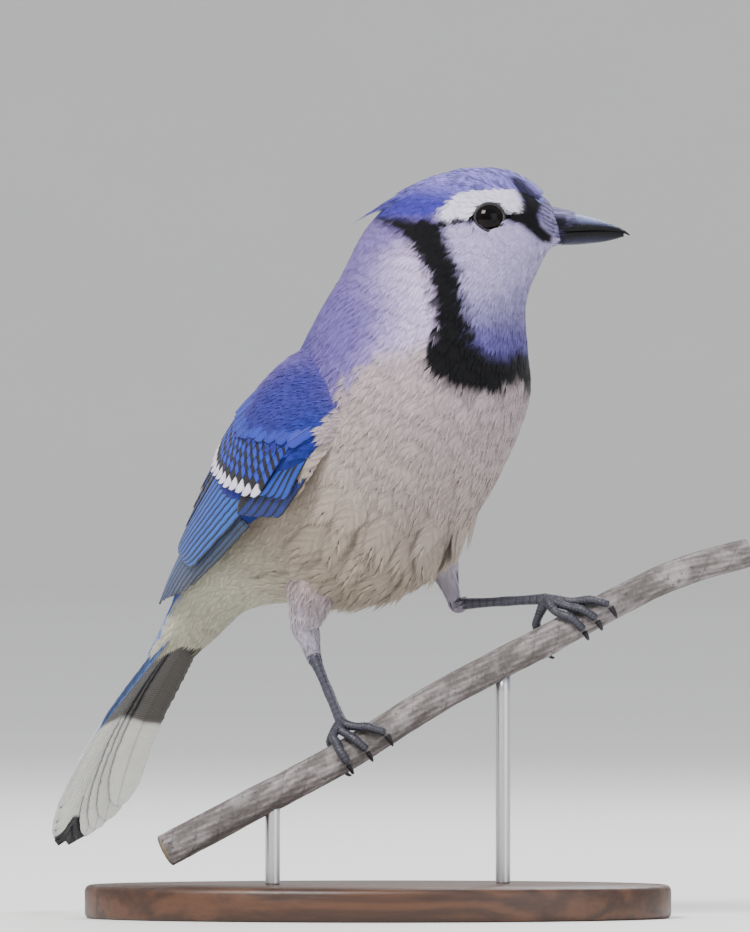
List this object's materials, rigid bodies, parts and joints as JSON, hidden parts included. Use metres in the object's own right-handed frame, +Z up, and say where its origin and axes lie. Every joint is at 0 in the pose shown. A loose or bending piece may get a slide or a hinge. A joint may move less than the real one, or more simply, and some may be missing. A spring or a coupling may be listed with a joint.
{
  "type": "blue jay",
  "caption": "Life-size blue jay standing on a sloping cut branch, head in profile, held on rods over a flat oval base.",
  "frame": {"origin": "centre of the display base's underside", "axes": "+Z up, +X the way the bill points, +Y away from the bird's right side"},
  "size_m": [0.2133, 0.1526, 0.2258],
  "materials": {
    "body_plumage": "soft body feathers, matte",
    "neck_plumage": "soft body feathers, matte",
    "head_plumage": "crest and face feathers, matte",
    "wing_feathers": "overlapping flight feathers, satin",
    "tail_feathers": "overlapping tail feathers, satin",
    "thigh_down": "downy feathers, matte",
    "bill": "horn, semi-gloss",
    "eye": "wet gloss",
    "leg_skin": "scaly skin, satin",
    "claw": "horn, semi-gloss",
    "bark": "rough bark",
    "stand_wood": "satin varnish",
    "stand_steel": "brushed"
  },
  "bodies": {
    "root": {"torso": "body_plumage", "neck": "neck_plumage", "head": "head_plumage", "bill_upper": "bill", "bill_lower": "bill", "tail": "tail_feathers", "eye_right": "eye", "wing_right": "wing_feathers", "thigh_right": "thigh_down", "tarsus_right": "leg_skin", "foot_right": "leg_skin", "claw_right_1": "claw", "claw_right_2": "claw", "claw_right_3": "claw", "claw_right_4": "claw", "eye_left": "eye", "wing_left": "wing_feathers", "thigh_left": "thigh_down", "tarsus_left": "leg_skin", "foot_left": "leg_skin", "claw_left_1": "claw", "claw_left_2": "claw", "claw_left_3": "claw", "claw_left_4": "claw", "perch": "bark", "stand_base": "stand_wood", "stand_rod_1": "stand_steel", "stand_rod_2": "stand_steel"}
  },
  "joints": []
}
